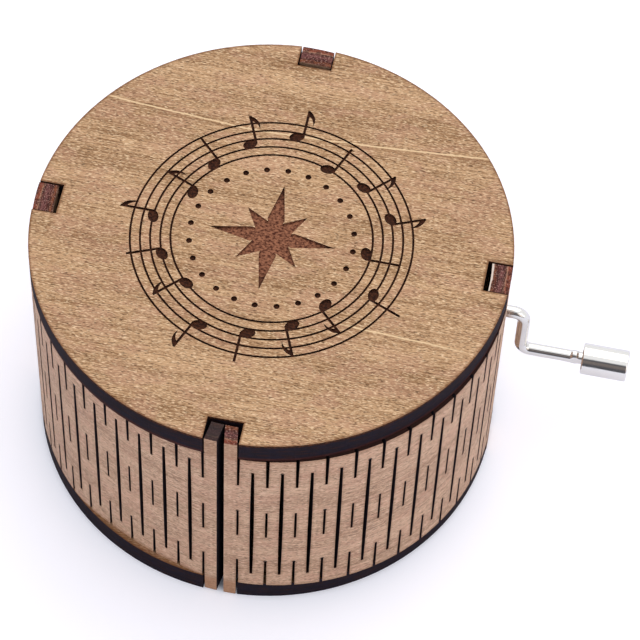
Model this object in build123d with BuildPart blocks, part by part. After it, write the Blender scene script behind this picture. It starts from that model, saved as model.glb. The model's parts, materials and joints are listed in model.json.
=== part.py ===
from build123d import *

import os
from math import asin, atan, cos, degrees, pi, radians, sin, tan

os.makedirs("parts", exist_ok=True)

# A round hand-cranked music box. Two plywood discs are joined by a plywood wall
# that is slit all over so that it bends into a loop. Inside, a worm on the crank
# shaft turns a pinned drum, and its pins pass the teeth of a steel comb.
#
# Frame: Z up, origin at the centre of the underside. The crank leaves along +X,
# and the two ends of the wall meet at -Y. Sizes are in millimetres.

# ---------------------------------------------------------------- plywood case
disc_radius = 36.0
disc_thickness = 4.0
wall_height = 37.3  # clear height between the discs
wall_thickness = 3.0
wall_oval = 0.6  # halfway between its tabs the wall lies this far out, or in
notch_count = 4
notch_width = 5.3
notch_slack = 0.8  # behind each tab
tab_gap = 0.2  # on each side of a tab
tab_recess = 0.15  # tab ends lie this far inside the outer faces of the discs
seam_outer_gap = 1.1  # the ends of the wall fan apart where they meet
seam_inner_gap = 0.15
seam_overcut = 1.2  # the cut between the ends runs this far past the wall's faces

# Slits of the wall: long ones alternate with columns of three short ones.
hinge_pitches = 12  # between one tab and the next
long_slit_width = 0.42
long_slit_margin = 3.4
short_slit_width = 0.32

# Engraving on the lid: a staff of music bent into a ring, with a star inside it
engraving_depth = 0.35
staff_radius = 18.0
staff_lines = 5
staff_spacing = 1.5
staff_line_width = 0.32
note_count = 16
note_head_length = 2.3
note_head_width = 1.6
note_head_tilt = 20.0  # degrees
note_stem_length = 5.2
note_stem_width = 0.4
note_flag_length = 2.8
note_flag_width = 1.0
star_points = 4  # long rays, and as many short ones between them
long_ray_length = 9.5
short_ray_length = 6.4
ray_width = 2.6
dot_count = 24
dot_radius = 0.45

# ---------------------------------------------------------------- drum and worm
drum_x = 5.0
drum_z = 13.0
drum_radius = 6.5
drum_wall = 0.8
drum_margin = 0.1  # of bare drum beyond the tracks of the first and last tooth
drum_cap_depth = 1.5
arbor_radius = 1.0
arbor_overhang = 0.5
pin_radius = 0.22
pin_height = 0.5
pin_depth = 0.7  # of the pin in the drum's wall
fewest_pins = 4  # on one track
pin_variety = 4
golden_angle = 137.5  # from one track's first pin to the next one's
pin_stagger = 7.0  # degrees

gear_module = 0.75
gear_teeth = 16
gear_face = 3.0
gear_y = 10.0  # the middle of the gear, and of the worm above it
rear_hub_length = 2.1  # between the drum and the gear
rear_hub_step = 0.6  # from the roots of the gear's teeth in to the hub
mesh_backlash = 0.64
flank_angle = 20.0
thread_turns = 5
thread_sink = 0.15  # the thread is rooted this deep in the worm's core

shaft_radius = 1.5
shaft_overhang = 0.7
worm_wall = 0.3625  # of the worm's core, around the shaft
worm_hub_radius = 2.3
worm_hub_length = 0.84
socket_wall = 1.1
socket_length = 6.5
clip_rim = 1.1
clip_thickness = 0.6

# ---------------------------------------------------------------- crank
wire_radius = 1.0
wire_engagement = 5.0  # of the wire in its socket
arm_standoff = 2.4  # from the rim of the discs to the middle of the arm
arm_length = 9.5
bend_radius = 1.7
handle_reach = 9.9  # from the arm to the knob
knob_radius = 2.5
knob_length = 7.3
knob_chamfer = 0.3
retainer_rim = 0.5
retainer_thickness = 0.6
retainer_gap = 0.3  # radial, to the knob's recess
retainer_sink = 0.2  # from the knob's end in to the retainer
crimp_length = 1.3
crimp_width = 2.5
crimp_thickness = 1.5
crank_hole_radius = 3.0

# ---------------------------------------------------------------- comb
comb_teeth = 18
tooth_pitch = 1.1
tooth_gap = 0.3
tooth_clearance = 0.15  # between a pin's tip and a tooth
bass_tooth_length = 15.0
treble_tooth_length = 9.0
comb_thickness = 1.0
tooth_relief = 0.35  # the teeth are this much thinner than the heel
comb_base_depth = 7.0
heel_overhang = 0.4  # of the heel, towards the teeth
weight_count = 8
weight_length = 4.6
weight_height = 2.0
weight_step = 0.35  # each next weight is this much shorter

# ---------------------------------------------------------------- screws
screw_shank_radius = 1.0
screw_head_radius = 1.9
screw_head_height = 1.1
screw_slot_width = 0.5
screw_slot_depth = 0.5
screw_head_margin = 0.1  # around a bracket screw's head
comb_screw_shank_radius = 1.4
comb_screw_head_radius = 2.5
comb_screw_head_height = 1.4
comb_screw_length = 5.0
mount_shank_radius = 1.4
mount_head_radius = 2.8
mount_head_recess = 0.3
mount_tip = 0.8  # the mounting screws stand this far out of their bosses

# ---------------------------------------------------------------- bedplate
plate_thickness = 2.0
plate_end_margin = 0.95  # of the plate past the comb, and past the bridge's foot
plate_side_margin = 2.55  # of the plate past the feet of the drum brackets
plate_corner = 9.0
plate_wall_gap = 0.5  # the least, to the wall
window_margin = 0.9
boss_radius = 2.9
boss_height = 1.2
left_boss_inset = 9.5  # from the ends and sides of the plate to its bosses
right_boss_inset = 5.0
back_boss_inset = 5.0
front_boss_inset = 4.5
right_boss_setback = 8.0

bracket_thickness = 1.2
bracket_foot_width = 13.0
bracket_neck_width = 7.0
bracket_eye_radius = 3.0

bridge_thickness = 2.0
bridge_width = 5.0
bridge_foot = 6.0
bridge_foot_thickness = 1.4
bridge_roof_thickness = 1.6
bridge_headroom = 0.45

# ---------------------------------------------------------------- fits
shaft_clearance = 0.05  # radial, a shaft in its bearing
running_gap = 0.3  # along a shaft, between what turns and what doesn't
worm_play = 0.2  # between each hub of the worm and its bridge
knob_play = 0.2
screw_clearance = 0.15  # radial, a screw in a plain hole

# ---------------------------------------------------------------- worked out
floor_top = disc_thickness
lid_bottom = floor_top + wall_height
case_height = lid_bottom + disc_thickness
wall_middle = disc_radius - wall_thickness / 2
notch_depth = wall_thickness + notch_slack
notch_angle = 360 / notch_count
front_angle = -90  # one notch is at the front, where the ends of the wall meet
tab_width = notch_width - 2 * tab_gap
plate_top = floor_top + plate_thickness

gear_radius = gear_module * gear_teeth / 2
thread_pitch = pi * gear_module
addendum = gear_module
dedendum = 1.25 * gear_module
gear_tip_radius = gear_radius + addendum
worm_root_radius = shaft_radius + worm_wall
worm_pitch_radius = worm_root_radius + dedendum
worm_tip_radius = worm_pitch_radius + addendum
lead_angle = atan(thread_pitch / (2 * pi * worm_pitch_radius))
crank_y = gear_y
crank_z = drum_z + gear_radius + worm_pitch_radius

gear_front = gear_y - gear_face / 2
gear_back = gear_y + gear_face / 2
drum_length = comb_teeth * tooth_pitch + 2 * drum_margin
drum_end = gear_front - rear_hub_length
drum_start = drum_end - drum_length
front_hub_end = drum_start - running_gap
rear_hub_radius = gear_radius - dedendum - rear_hub_step
bracket_front = front_hub_end - running_gap - bracket_thickness
bracket_back = gear_back + running_gap
bracket_foot_depth = bracket_thickness + 2 * (screw_head_radius + screw_head_margin)

thread_length = thread_turns * thread_pitch
thread_half = (thread_pitch - mesh_backlash) / 4
thread_half_root = thread_half + dedendum * tan(radians(flank_angle))
thread_half_tip = thread_half - addendum * tan(radians(flank_angle))
thread_reach = thread_length / 2 + thread_half_root + running_gap
bridge_inner_reach = max(thread_reach + worm_hub_length + worm_play, gear_tip_radius + running_gap)
bridge_outer_reach = bridge_inner_reach + bridge_thickness

tooth_tip_x = drum_x - drum_radius - pin_height - tooth_clearance
comb_back = tooth_tip_x - bass_tooth_length - heel_overhang - comb_base_depth

plate_left = comb_back - plate_end_margin
plate_right = drum_x + bridge_outer_reach + bridge_foot + plate_end_margin
plate_front = bracket_front + bracket_thickness - bracket_foot_depth - plate_side_margin
plate_back = bracket_back + bracket_foot_depth + plate_side_margin
mount_points = [
    (plate_left + left_boss_inset, plate_back - back_boss_inset),
    (plate_left + left_boss_inset, plate_front + front_boss_inset),
    (plate_right - right_boss_inset, plate_front + right_boss_setback),
]

socket_radius = wire_radius + socket_wall
retainer_radius = wire_radius + retainer_rim
knob_recess_radius = retainer_radius + retainer_gap
knob_recess_depth = knob_play + retainer_thickness + retainer_sink
arm_x = disc_radius + arm_standoff
knob_x = arm_x + handle_reach
knob_end = knob_x + knob_length
handle_z = crank_z - arm_length


def bearing_plane(x):
    """A plane across the crank shaft at x, with the shaft's axis at its origin."""
    return Plane(origin=(x, crank_y, crank_z), x_dir=(0, 1, 0), z_dir=(1, 0, 0))


def drum_plane(y):
    """A plane across the drum at y, facing +Y, with the drum's axis at its origin."""
    return Plane(origin=(drum_x, y, drum_z), x_dir=(-1, 0, 0), z_dir=(0, 1, 0))


def wedge(outer_width, inner_width):
    """A wedge through the front of the wall, by its widths at the wall's two faces."""
    slope = (outer_width - inner_width) / 2 / wall_thickness
    mouth = outer_width / 2 + slope * seam_overcut
    with BuildSketch() as outline:
        with BuildLine():
            Polyline(
                (-mouth, -disc_radius - seam_overcut),
                (mouth, -disc_radius - seam_overcut),
                (inner_width / 2, wall_thickness - disc_radius),
                (inner_width / 2, wall_thickness + seam_overcut - disc_radius),
                (-inner_width / 2, wall_thickness + seam_overcut - disc_radius),
                (-inner_width / 2, wall_thickness - disc_radius),
                close=True,
            )
        make_face()
    return outline.sketch


def music_note(has_flag):
    """A note with the middle of its head at the origin and its stem along +Y."""
    stem_x = (note_head_length - note_stem_width) / 2
    with BuildSketch() as outline:
        Ellipse(note_head_length / 2, note_head_width / 2, rotation=note_head_tilt)
        with Locations((stem_x, note_stem_length / 2)):
            Rectangle(note_stem_width, note_stem_length)
        if has_flag:
            # A flag of two arcs, from the top of the stem to a point below it
            top = (stem_x, note_stem_length)
            root = (stem_x, note_stem_length - note_flag_length / 3)
            tip = (stem_x + note_flag_width, note_stem_length - note_flag_length)
            with BuildLine():
                Line(top, root)
                ThreePointArc(root, (tip[0] - note_flag_width / 8, tip[1] + note_flag_length / 3), tip)
                ThreePointArc(tip, (tip[0] + note_flag_width / 8, tip[1] + note_flag_length / 2), top)
            make_face()
    return outline.sketch


def star_ray(length):
    """A narrow pointed ray along +X that starts at the origin."""
    with BuildSketch() as outline:
        with BuildLine():
            shoulder = length / 3
            Polyline((0, 0), (shoulder, ray_width / 2), (length, 0), (shoulder, -ray_width / 2), close=True)
        make_face()
    return outline.sketch


def pan_screws(points, seat, shank_radius, shank_length, head_radius, head_height):
    """Slotted screws, one separate solid at each point, with their heads on seat."""
    with BuildPart() as group:
        with BuildSketch(Plane.XY.offset(seat - shank_length)):
            with Locations(*points):
                Circle(shank_radius)
        extrude(amount=shank_length)
        with BuildSketch(Plane.XY.offset(seat)):
            with Locations(*points):
                Circle(head_radius)
        extrude(amount=head_height)
        with BuildSketch(Plane.XY.offset(seat + head_height)):
            with Locations(*points):
                Rectangle(2 * head_radius, screw_slot_width)
        extrude(amount=-screw_slot_depth, mode=Mode.SUBTRACT)
    return group


# ---------------------------------------------------------------- the two discs
with BuildPart() as bottom_disc:
    with BuildSketch():
        Circle(disc_radius)
        with PolarLocations(disc_radius - notch_depth / 2, notch_count, front_angle):
            Rectangle(notch_depth, notch_width, mode=Mode.SUBTRACT)
        with Locations(*mount_points):
            Circle(mount_shank_radius + screw_clearance, mode=Mode.SUBTRACT)
    extrude(amount=disc_thickness)
    # Countersinks for the three screws that hold the movement
    with BuildSketch():
        with Locations(*mount_points):
            Circle(mount_head_radius + mount_head_recess)
    sink_depth = mount_head_radius + mount_head_recess - mount_shank_radius
    extrude(amount=sink_depth, taper=45, mode=Mode.SUBTRACT)

with BuildPart() as top_disc:
    with BuildSketch(Plane.XY.offset(lid_bottom)):
        Circle(disc_radius)
        with PolarLocations(disc_radius - notch_depth / 2, notch_count, front_angle):
            Rectangle(notch_depth, notch_width, mode=Mode.SUBTRACT)
    extrude(amount=disc_thickness)
    # The engraving, from the outermost line of the staff inwards
    staff_inside = staff_radius - (staff_lines - 1) / 2 * staff_spacing
    with BuildSketch(Plane.XY.offset(case_height)):
        for line in reversed(range(staff_lines)):
            line_radius = staff_inside + line * staff_spacing
            Circle(line_radius + staff_line_width / 2)
            Circle(line_radius - staff_line_width / 2, mode=Mode.SUBTRACT)
        for note in range(note_count):
            # Each head lies on a line or in a space, and two notes of three have a flag
            head_step = (5 * note) % 7 - 5
            head_radius = staff_radius + head_step * staff_spacing / 2
            with PolarLocations(head_radius, 1, 360 * note / note_count):
                with Locations(Location((0, 0, 0), (0, 0, -90))):
                    add(music_note(has_flag=note % 3 != 0))
        for ray_length, first_ray in ((long_ray_length, 0), (short_ray_length, 180 / star_points)):
            with PolarLocations(0, star_points, first_ray):
                add(star_ray(ray_length))
        with PolarLocations((long_ray_length + staff_inside) / 2, dot_count):
            Circle(dot_radius)
    extrude(amount=-engraving_depth, mode=Mode.SUBTRACT)

# ---------------------------------------------------------------- the slit wall
with BuildPart() as side_wall:
    # An oval loop: its long axis lies between the front seam and the crank
    with BuildSketch(Plane.XY.offset(tab_recess)):
        for wall_radius, wall_mode in (
            (disc_radius, Mode.ADD),
            (disc_radius - wall_thickness, Mode.SUBTRACT),
        ):
            Ellipse(wall_radius + wall_oval, wall_radius - wall_oval, rotation=-45, mode=wall_mode)
    extrude(amount=case_height - 2 * tab_recess)

    # Beside the tabs the wall ends at the faces of the discs. The two halves of the
    # front tab lean with the ends of the wall.
    front_tab_inside = tab_width - seam_outer_gap + seam_inner_gap
    whole_tabs = PolarLocations(
        wall_middle,
        notch_count - 1,
        front_angle + notch_angle,
        (notch_count - 2) * notch_angle,
        endpoint=True,
    )
    for cut_start, cut_height in (
        (tab_recess, floor_top - tab_recess),
        (lid_bottom, disc_thickness - tab_recess),
    ):
        with BuildSketch(Plane.XY.offset(cut_start)):
            Circle(disc_radius + wall_thickness)
            Circle(disc_radius - 2 * wall_thickness, mode=Mode.SUBTRACT)
            with whole_tabs:
                Rectangle(3 * wall_thickness, tab_width, mode=Mode.SUBTRACT)
            add(wedge(tab_width, front_tab_inside), mode=Mode.SUBTRACT)
        extrude(amount=cut_height, mode=Mode.SUBTRACT)

    # The seam at the front, between the two ends of the wall
    with BuildSketch():
        add(wedge(seam_outer_gap, seam_inner_gap))
    extrude(amount=case_height, mode=Mode.SUBTRACT)

    # Rows of slits: from, height, width, columns, first column and last column
    column_start = degrees(asin((tab_width + short_slit_width) / 2 / disc_radius))
    column_step = (notch_angle - 2 * column_start) / hinge_pitches
    long_start = column_start + column_step / 2
    short_height = wall_height / 5
    short_row = (short_slit_width, hinge_pitches + 1, column_start, notch_angle - column_start)
    slit_rows = [(floor_top + 2 * row * short_height, short_height, *short_row) for row in range(3)]
    long_height = wall_height - 2 * long_slit_margin
    long_row = (long_slit_width, hinge_pitches, long_start, notch_angle - long_start)
    slit_rows.append((floor_top + long_slit_margin, long_height, *long_row))
    for row_start, row_height, row_width, columns, first, last in slit_rows:
        with BuildSketch(Plane.XY.offset(row_start)):
            for span in range(notch_count):
                turn = front_angle + span * notch_angle
                with PolarLocations(wall_middle, columns, turn + first, last - first, endpoint=True):
                    Rectangle(2 * wall_thickness, row_width)
        extrude(amount=row_height, mode=Mode.SUBTRACT)
    # One more long slit under each whole tab
    with BuildSketch(Plane.XY.offset(floor_top + long_slit_margin)):
        with whole_tabs:
            Rectangle(2 * wall_thickness, long_slit_width)
    extrude(amount=long_height, mode=Mode.SUBTRACT)

    # The hole for the crank
    with BuildSketch(bearing_plane(disc_radius / 2)):
        Circle(crank_hole_radius)
    extrude(amount=disc_radius, mode=Mode.SUBTRACT)

# ---------------------------------------------------------------- pinned drum
with BuildPart() as drum_pins:
    # Each tooth of the comb has its own track of pins, spread by the golden angle
    for track in range(comb_teeth):
        pins_on_track = fewest_pins + track % pin_variety
        track_y = drum_end - drum_margin - (track + 0.5) * tooth_pitch
        for pin in range(pins_on_track):
            turn = radians(golden_angle * track + (360 / pins_on_track + pin_stagger) * pin)
            outward = Vector(cos(turn), 0, sin(turn))
            foot = Vector(drum_x, track_y, drum_z) + outward * (drum_radius - pin_depth)
            with BuildSketch(Plane(origin=foot, z_dir=outward)):
                Circle(pin_radius)
    extrude(amount=pin_depth + pin_height)

with BuildPart() as drum_tube:
    with BuildSketch(drum_plane(drum_start)):
        Circle(drum_radius)
        Circle(drum_radius - drum_wall, mode=Mode.SUBTRACT)
    extrude(amount=drum_length)
    add(drum_pins.part, mode=Mode.SUBTRACT)

with BuildPart() as drum_cap_front:
    with BuildSketch(drum_plane(drum_start)):
        Circle(drum_radius - drum_wall)
        Circle(arbor_radius, mode=Mode.SUBTRACT)
    extrude(amount=drum_cap_depth)
    # Its hub is as wide as the eye of the bracket beside it
    with BuildSketch(drum_plane(front_hub_end)):
        Circle(bracket_eye_radius)
        Circle(arbor_radius, mode=Mode.SUBTRACT)
    extrude(amount=drum_start - front_hub_end)

with BuildPart() as drum_cap_rear:
    with BuildSketch(drum_plane(drum_end - drum_cap_depth)):
        Circle(drum_radius - drum_wall)
        Circle(arbor_radius, mode=Mode.SUBTRACT)
    extrude(amount=drum_cap_depth)
    with BuildSketch(drum_plane(drum_end)):
        Circle(rear_hub_radius)
        Circle(arbor_radius, mode=Mode.SUBTRACT)
    extrude(amount=gear_front - drum_end)

with BuildPart() as drum_gear:
    with BuildSketch(drum_plane(gear_front)):
        Circle(gear_tip_radius)
        Circle(arbor_radius, mode=Mode.SUBTRACT)
    extrude(amount=gear_face)
    # The gaps between the teeth lean with the worm's thread. A thread with an odd
    # number of turns is at its lowest in the middle, so there a gap points up.
    first_gap = (thread_turns + 1) % 2 / 2
    gap_half = (thread_pitch + mesh_backlash) / 4
    gap_half_root = gap_half - dedendum * tan(radians(flank_angle))
    gap_half_mouth = gap_half + 2 * addendum * tan(radians(flank_angle))
    for tooth in range(gear_teeth):
        turn = 2 * pi * (first_gap + tooth) / gear_teeth
        outward = Vector(sin(turn), 0, cos(turn))
        forward = Vector(cos(turn), 0, -sin(turn))
        along = Vector(0, cos(lead_angle), 0) + forward * sin(lead_angle)
        gap_middle = Vector(drum_x, gear_y, drum_z) + outward * gear_radius
        with BuildSketch(Plane(origin=gap_middle, x_dir=outward, z_dir=along)):
            with BuildLine():
                Polyline(
                    (-dedendum, -gap_half_root),
                    (2 * addendum, -gap_half_mouth),
                    (2 * addendum, gap_half_mouth),
                    (-dedendum, gap_half_root),
                    close=True,
                )
            make_face()
    extrude(amount=gear_face, both=True, mode=Mode.SUBTRACT)

with BuildPart() as drum_arbor:
    arbor_start = bracket_front - arbor_overhang
    arbor_end = bracket_back + bracket_thickness + arbor_overhang
    with BuildSketch(drum_plane(arbor_start)):
        Circle(arbor_radius)
    extrude(amount=arbor_end - arbor_start)

# ---------------------------------------------------------------- worm and its shaft
hub_reach = bridge_inner_reach - worm_play

with BuildPart() as worm:
    with BuildSketch(bearing_plane(drum_x - hub_reach)):
        Circle(worm_root_radius)
    extrude(amount=2 * hub_reach)
    # The helix starts above its axis
    with BuildLine():
        thread_path = Helix(
            thread_pitch,
            thread_length,
            worm_root_radius,
            center=(drum_x - thread_length / 2, crank_y, crank_z),
            direction=(1, 0, 0),
        )
    thread_height = addendum + dedendum
    with BuildSketch(Plane(origin=thread_path @ 0, x_dir=(0, 0, 1), z_dir=thread_path % 0)):
        with BuildLine():
            Polyline(
                (-thread_sink, -thread_half_root),
                (0, -thread_half_root),
                (thread_height, -thread_half_tip),
                (thread_height, thread_half_tip),
                (0, thread_half_root),
                (-thread_sink, thread_half_root),
                close=True,
            )
        make_face()
    sweep(is_frenet=True)
    # Hubs at both ends keep the worm in the middle of its bridge
    hub_length = hub_reach - thread_reach
    for hub_start in (drum_x - hub_reach, drum_x + hub_reach - hub_length):
        with BuildSketch(bearing_plane(hub_start)):
            Circle(worm_hub_radius)
        extrude(amount=hub_length)
    with BuildSketch(bearing_plane(drum_x - hub_reach)):
        Circle(shaft_radius)
    extrude(amount=2 * hub_reach, mode=Mode.SUBTRACT)

clip_radius = shaft_radius + clip_rim
clip_x = drum_x - bridge_outer_reach - running_gap - clip_thickness
socket_x = drum_x + bridge_outer_reach + running_gap
socket_end = socket_x + socket_length

with BuildPart() as worm_shaft:
    shaft_start = clip_x - shaft_overhang
    with BuildSketch(bearing_plane(shaft_start)):
        Circle(shaft_radius)
    extrude(amount=socket_x - shaft_start)
    with BuildSketch(bearing_plane(socket_x)):
        Circle(socket_radius)
    extrude(amount=socket_length)
    with BuildSketch(bearing_plane(socket_end)):
        Circle(wire_radius)
    extrude(amount=-wire_engagement, mode=Mode.SUBTRACT)

with BuildPart() as shaft_clip:
    with BuildSketch(bearing_plane(clip_x)):
        Circle(clip_radius)
        Circle(shaft_radius, mode=Mode.SUBTRACT)
        # The clip's mouth, which lets it snap on from the side
        with Locations((clip_radius, 0)):
            Rectangle(2 * clip_radius, shaft_radius, mode=Mode.SUBTRACT)
    extrude(amount=clip_thickness)

# ---------------------------------------------------------------- crank and knob
retainer_x = knob_end - knob_recess_depth + knob_play
crimp_x = knob_x - knob_play - crimp_length

with BuildPart() as crank_wire:
    with BuildLine():
        FilletPolyline(
            (socket_end - wire_engagement, crank_y, crank_z),
            (arm_x, crank_y, crank_z),
            (arm_x, crank_y, handle_z),
            (crimp_x, crank_y, handle_z),
            radius=bend_radius,
        )
    with BuildSketch(bearing_plane(socket_end - wire_engagement)):
        Circle(wire_radius)
    sweep()
    # The wire is pinched flat beside the knob, then runs on through it
    handle_plane = Plane(origin=(crimp_x, crank_y, handle_z), x_dir=(0, 1, 0), z_dir=(1, 0, 0))
    with BuildSketch(handle_plane):
        RectangleRounded(crimp_thickness, crimp_width, crimp_thickness / 3)
    extrude(amount=crimp_length)
    with BuildSketch(handle_plane.offset(crimp_length)):
        Circle(wire_radius)
    extrude(amount=retainer_x + retainer_thickness - crimp_x - crimp_length)

with BuildPart() as crank_knob:
    with BuildSketch(handle_plane.offset(knob_x - crimp_x)):
        Circle(knob_radius)
    extrude(amount=knob_length)
    chamfer(crank_knob.edges(), length=knob_chamfer)
    with BuildSketch(handle_plane.offset(knob_x - crimp_x)):
        Circle(wire_radius + shaft_clearance)
    extrude(amount=knob_length, mode=Mode.SUBTRACT)
    with BuildSketch(handle_plane.offset(knob_end - crimp_x)):
        Circle(knob_recess_radius)
    extrude(amount=-knob_recess_depth, mode=Mode.SUBTRACT)

with BuildPart() as knob_retainer:
    with BuildSketch(handle_plane.offset(retainer_x - crimp_x)):
        Circle(retainer_radius)
        Circle(wire_radius, mode=Mode.SUBTRACT)
    extrude(amount=retainer_thickness)

# ---------------------------------------------------------------- comb
comb_right = drum_end - drum_margin - tooth_gap / 2
comb_left = comb_right - comb_teeth * tooth_pitch + tooth_gap
comb_middle_y = (comb_left + comb_right) / 2
comb_bottom = drum_z - comb_thickness / 2
comb_screw_x = comb_back + comb_base_depth / 2
comb_screw_spacing = (comb_right - comb_left) / 2
comb_screw_points = [
    (comb_screw_x, comb_middle_y - comb_screw_spacing / 2),
    (comb_screw_x, comb_middle_y + comb_screw_spacing / 2),
]
length_step = (bass_tooth_length - treble_tooth_length) / (comb_teeth - 1)

with BuildPart() as comb:
    with BuildSketch(Plane.XY.offset(comb_bottom)):
        with Locations(((comb_back + tooth_tip_x) / 2, comb_middle_y)):
            Rectangle(tooth_tip_x - comb_back, comb_right - comb_left)
        with Locations(*comb_screw_points):
            Circle(comb_screw_shank_radius + screw_clearance, mode=Mode.SUBTRACT)
        for gap in range(1, comb_teeth):
            gap_length = bass_tooth_length - length_step * (gap - 0.5)
            gap_y = comb_left + gap * tooth_pitch - tooth_gap / 2
            with Locations((tooth_tip_x - gap_length / 2, gap_y)):
                Rectangle(gap_length, tooth_gap, mode=Mode.SUBTRACT)
    extrude(amount=comb_thickness)
    # The teeth are ground thinner than the heel, from above
    with BuildSketch(Plane.XY.offset(comb_bottom + comb_thickness)):
        with BuildLine():
            Polyline(
                (tooth_tip_x - bass_tooth_length, comb_left),
                (tooth_tip_x - treble_tooth_length, comb_right),
                (tooth_tip_x, comb_right),
                (tooth_tip_x, comb_left),
                close=True,
            )
        make_face()
    extrude(amount=-tooth_relief, mode=Mode.SUBTRACT)

with BuildPart() as comb_base:
    with BuildSketch(Plane.XY.offset(plate_top)):
        with Locations((comb_screw_x, comb_middle_y)):
            Rectangle(comb_base_depth, comb_right - comb_left)
    extrude(amount=comb_bottom - plate_top)
    with BuildSketch(Plane.XY.offset(comb_bottom)):
        with Locations(*comb_screw_points):
            Circle(comb_screw_shank_radius)
    extrude(amount=comb_thickness - comb_screw_length, mode=Mode.SUBTRACT)

comb_screws = pan_screws(
    comb_screw_points,
    comb_bottom + comb_thickness,
    comb_screw_shank_radius,
    comb_screw_length,
    comb_screw_head_radius,
    comb_screw_head_height,
)

with BuildPart() as bass_weights:
    # Lead under the longest teeth, set back from the tips to clear the pins
    with BuildSketch(Plane.XY.offset(comb_bottom)):
        for weight in range(weight_count):
            this_length = weight_length - weight_step * weight
            tooth_y = comb_left + (tooth_pitch - tooth_gap) / 2 + weight * tooth_pitch
            with Locations((tooth_tip_x - (tooth_pitch + this_length) / 2, tooth_y)):
                Rectangle(this_length, tooth_pitch - tooth_gap)
    extrude(amount=-weight_height)

# ---------------------------------------------------------------- drum brackets
bracket_height = drum_z - plate_top
bracket_screw_x = (drum_x - bracket_foot_width / 3, drum_x + bracket_foot_width / 3)
bracket_screw_points = []
bracket_pieces = []
for face_y, toward in ((bracket_front + bracket_thickness, -1), (bracket_back, 1)):
    with BuildPart() as bracket:
        with BuildSketch(drum_plane(face_y)):
            Circle(bracket_eye_radius)
            with BuildLine():
                Polyline(
                    (-bracket_neck_width / 2, -bracket_height),
                    (bracket_neck_width / 2, -bracket_height),
                    (bracket_eye_radius, 0),
                    (-bracket_eye_radius, 0),
                    close=True,
                )
            make_face()
            Circle(arbor_radius + shaft_clearance, mode=Mode.SUBTRACT)
        extrude(amount=toward * bracket_thickness)
        foot_y = face_y + toward * bracket_foot_depth / 2
        screw_y = face_y + toward * (bracket_foot_depth + bracket_thickness) / 2
        with BuildSketch(Plane.XY.offset(plate_top)):
            with Locations((drum_x, foot_y)):
                Rectangle(bracket_foot_width, bracket_foot_depth)
            with Locations(*[(x, screw_y) for x in bracket_screw_x]):
                Circle(screw_shank_radius + screw_clearance, mode=Mode.SUBTRACT)
        extrude(amount=bracket_thickness)
    bracket_pieces.append(bracket)
    bracket_screw_points += [(x, screw_y) for x in bracket_screw_x]
drum_bracket_front, drum_bracket_rear = bracket_pieces

bracket_screws = pan_screws(
    bracket_screw_points,
    plate_top + bracket_thickness,
    screw_shank_radius,
    plate_thickness + bracket_thickness - screw_clearance,
    screw_head_radius,
    screw_head_height,
)

# ---------------------------------------------------------------- worm bridge
bridge_screw_x = bridge_outer_reach + bridge_foot / 2
bridge_screw_points = [(drum_x - bridge_screw_x, gear_y), (drum_x + bridge_screw_x, gear_y)]
roof_bottom = crank_z + worm_tip_radius + bridge_headroom
roof_top = roof_bottom + bridge_roof_thickness

with BuildPart() as worm_bridge:
    # An arch over the worm, seen from the front, with a foot on each side
    with BuildSketch(drum_plane(gear_y - bridge_width / 2)):
        with Locations((0, (roof_top + plate_top) / 2 - drum_z)):
            Rectangle(2 * bridge_outer_reach, roof_top - plate_top)
        with Locations((0, (roof_bottom + plate_top) / 2 - drum_z)):
            Rectangle(2 * bridge_inner_reach, roof_bottom - plate_top, mode=Mode.SUBTRACT)
        for side in (-1, 1):
            foot_middle = side * (bridge_outer_reach + bridge_foot / 2)
            with Locations((foot_middle, plate_top + bridge_foot_thickness / 2 - drum_z)):
                Rectangle(bridge_foot, bridge_foot_thickness)
    extrude(amount=bridge_width)
    with BuildSketch(bearing_plane(drum_x - bridge_outer_reach)):
        Circle(shaft_radius + shaft_clearance)
    extrude(amount=2 * bridge_outer_reach, mode=Mode.SUBTRACT)
    with BuildSketch(Plane.XY.offset(plate_top)):
        with Locations(*bridge_screw_points):
            Circle(screw_shank_radius + screw_clearance)
    extrude(amount=bridge_foot_thickness, mode=Mode.SUBTRACT)

bridge_screws = pan_screws(
    bridge_screw_points,
    plate_top + bridge_foot_thickness,
    screw_shank_radius,
    plate_thickness + bridge_foot_thickness - screw_clearance,
    screw_head_radius,
    screw_head_height,
)

# ---------------------------------------------------------------- bedplate
with BuildPart() as bedplate:
    plate_middle = ((plate_left + plate_right) / 2, (plate_front + plate_back) / 2)
    with BuildSketch(Plane.XY.offset(floor_top)):
        with Locations(plate_middle):
            RectangleRounded(plate_right - plate_left, plate_back - plate_front, plate_corner)
        # Where it would reach the wall, the plate is round
        Circle(disc_radius - wall_thickness - wall_oval - plate_wall_gap, mode=Mode.INTERSECT)
        # A window lets the drum and its gear dip into the plate
        window_start = bracket_front + bracket_thickness
        window_reach = max(drum_radius + pin_height, gear_tip_radius) + window_margin
        with Locations((drum_x, (window_start + bracket_back) / 2)):
            Rectangle(2 * window_reach, bracket_back - window_start, mode=Mode.SUBTRACT)
    extrude(amount=plate_thickness)
    with BuildSketch(Plane.XY.offset(plate_top)):
        with Locations(*mount_points):
            Circle(boss_radius)
    extrude(amount=boss_height)
    with BuildSketch(Plane.XY.offset(floor_top)):
        with Locations(*mount_points):
            Circle(mount_shank_radius)
        with Locations(*bracket_screw_points, *bridge_screw_points):
            Circle(screw_shank_radius)
    extrude(amount=plate_thickness + boss_height, mode=Mode.SUBTRACT)

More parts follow.
